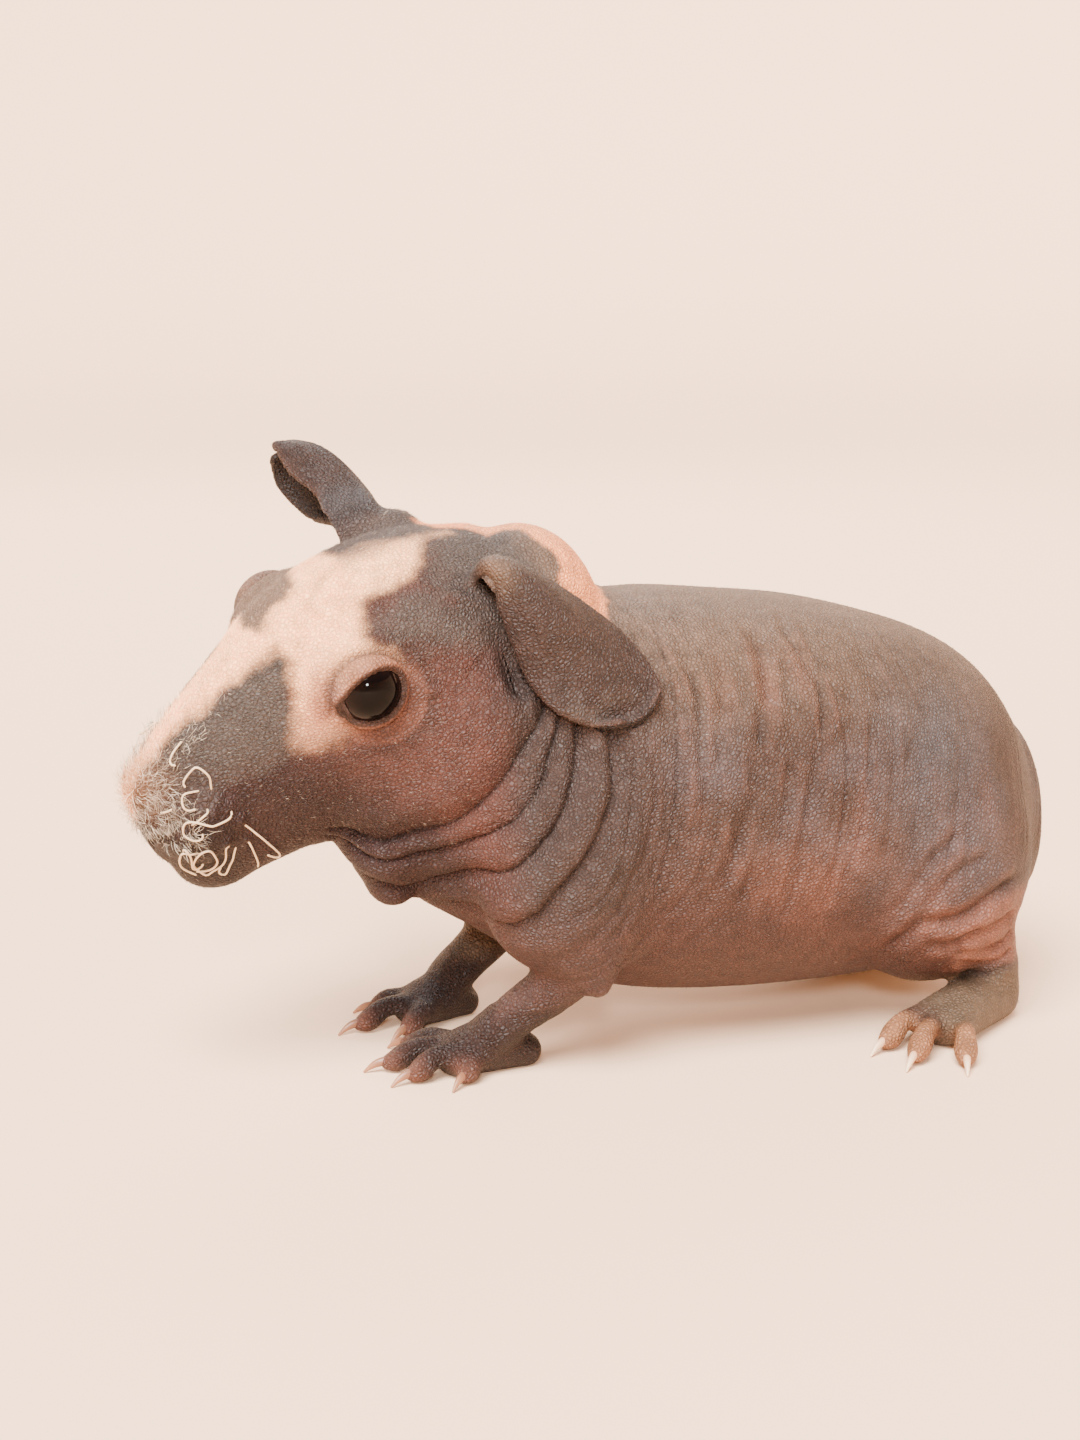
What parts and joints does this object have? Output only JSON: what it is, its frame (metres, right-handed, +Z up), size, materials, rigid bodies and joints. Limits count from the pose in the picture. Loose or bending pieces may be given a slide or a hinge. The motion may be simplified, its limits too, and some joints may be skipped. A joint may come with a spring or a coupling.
{
  "type": "hairless guinea pig pup",
  "caption": "Still, life-size hairless guinea pig pup standing on all fours, head turned a little to its left, to stand on a flat surface.",
  "frame": {"origin": "bottom centre of the whole model's bounding box, on the floor it stands on", "axes": "-X towards the nose, -Y to the animal's left, +Z up"},
  "size_m": [0.1456, 0.0764, 0.0892],
  "materials": {
    "skin": "matte bare skin, wrinkled, with sparse short fuzz",
    "eye": "wet gloss",
    "claw": "satin horn"
  },
  "bodies": {
    "root": {"claw_foreleg_left_1": "claw", "claw_foreleg_left_2": "claw", "claw_foreleg_left_3": "claw", "claw_foreleg_left_4": "claw", "claw_foreleg_right_1": "claw", "claw_foreleg_right_2": "claw", "claw_foreleg_right_3": "claw", "claw_foreleg_right_4": "claw", "claw_hindleg_left_1": "claw", "claw_hindleg_left_2": "claw", "claw_hindleg_left_3": "claw", "claw_hindleg_right_1": "claw", "claw_hindleg_right_2": "claw", "claw_hindleg_right_3": "claw", "ear_left": "skin", "ear_right": "skin", "eye_left": "eye", "eye_right": "eye", "foreleg_left": "skin", "foreleg_right": "skin", "head": "skin", "hindleg_left": "skin", "hindleg_right": "skin", "neck": "skin", "torso": "skin"}
  },
  "joints": []
}
